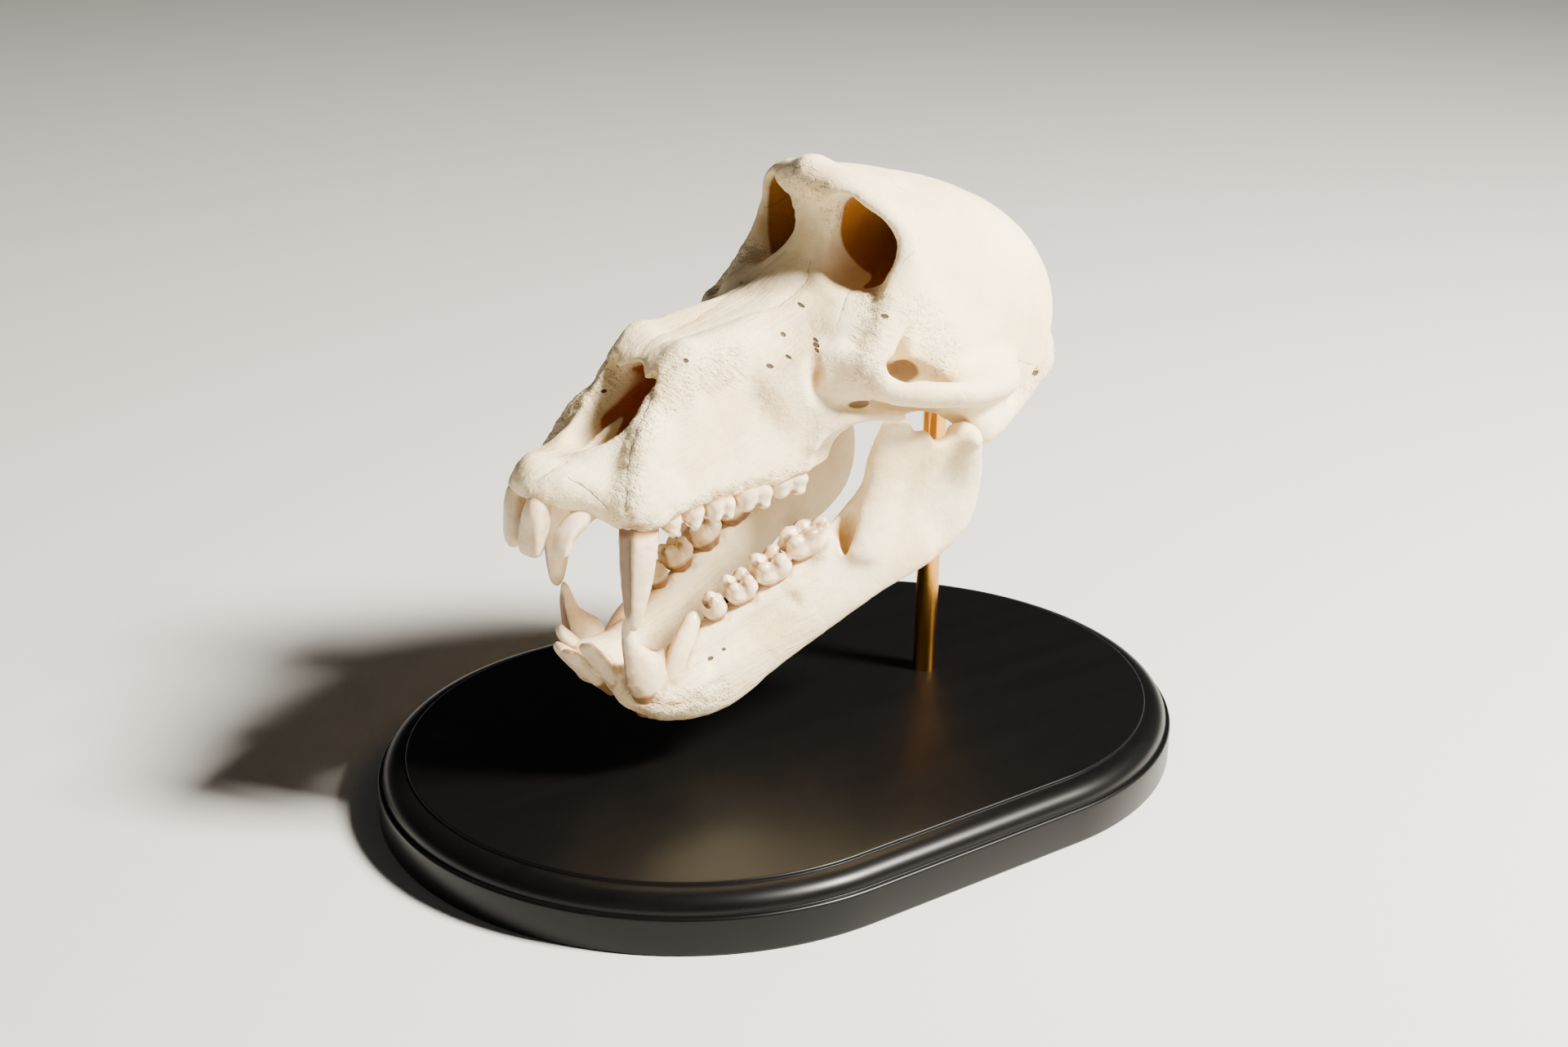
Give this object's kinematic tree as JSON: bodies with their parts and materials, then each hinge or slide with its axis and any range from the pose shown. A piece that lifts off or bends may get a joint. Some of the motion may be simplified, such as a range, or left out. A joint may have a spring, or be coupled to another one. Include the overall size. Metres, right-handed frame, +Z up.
{
  "type": "baboon skull on a stand",
  "caption": "Male baboon skull with an open jaw and long canines, held by an upright brass rod over a rounded black wooden plaque.",
  "frame": {"origin": "centre of the plaque's underside", "axes": "+Z up, -X towards the muzzle, -Y towards the skull's left side"},
  "size_m": [0.28, 0.197, 0.2054],
  "materials": {
    "bone": "matt cream-white cleaned bone",
    "tooth": "ivory enamel with a soft gloss",
    "brass": "polished",
    "wood": "black lacquer"
  },
  "bodies": {
    "root": {"stand_base": "wood", "support_rod": "brass", "cranium": "bone", "mandible": "bone", "upper_left_central_incisor": "tooth", "upper_left_lateral_incisor": "tooth", "upper_left_canine": "tooth", "upper_left_third_premolar": "tooth", "upper_left_fourth_premolar": "tooth", "upper_left_first_molar": "tooth", "upper_left_second_molar": "tooth", "upper_left_third_molar": "tooth", "upper_right_central_incisor": "tooth", "upper_right_lateral_incisor": "tooth", "upper_right_canine": "tooth", "upper_right_third_premolar": "tooth", "upper_right_fourth_premolar": "tooth", "upper_right_first_molar": "tooth", "upper_right_second_molar": "tooth", "upper_right_third_molar": "tooth", "lower_left_central_incisor": "tooth", "lower_left_lateral_incisor": "tooth", "lower_left_canine": "tooth", "lower_left_third_premolar": "tooth", "lower_left_fourth_premolar": "tooth", "lower_left_first_molar": "tooth", "lower_left_second_molar": "tooth", "lower_left_third_molar": "tooth", "lower_right_central_incisor": "tooth", "lower_right_lateral_incisor": "tooth", "lower_right_canine": "tooth", "lower_right_third_premolar": "tooth", "lower_right_fourth_premolar": "tooth", "lower_right_first_molar": "tooth", "lower_right_second_molar": "tooth", "lower_right_third_molar": "tooth"}
  },
  "joints": []
}
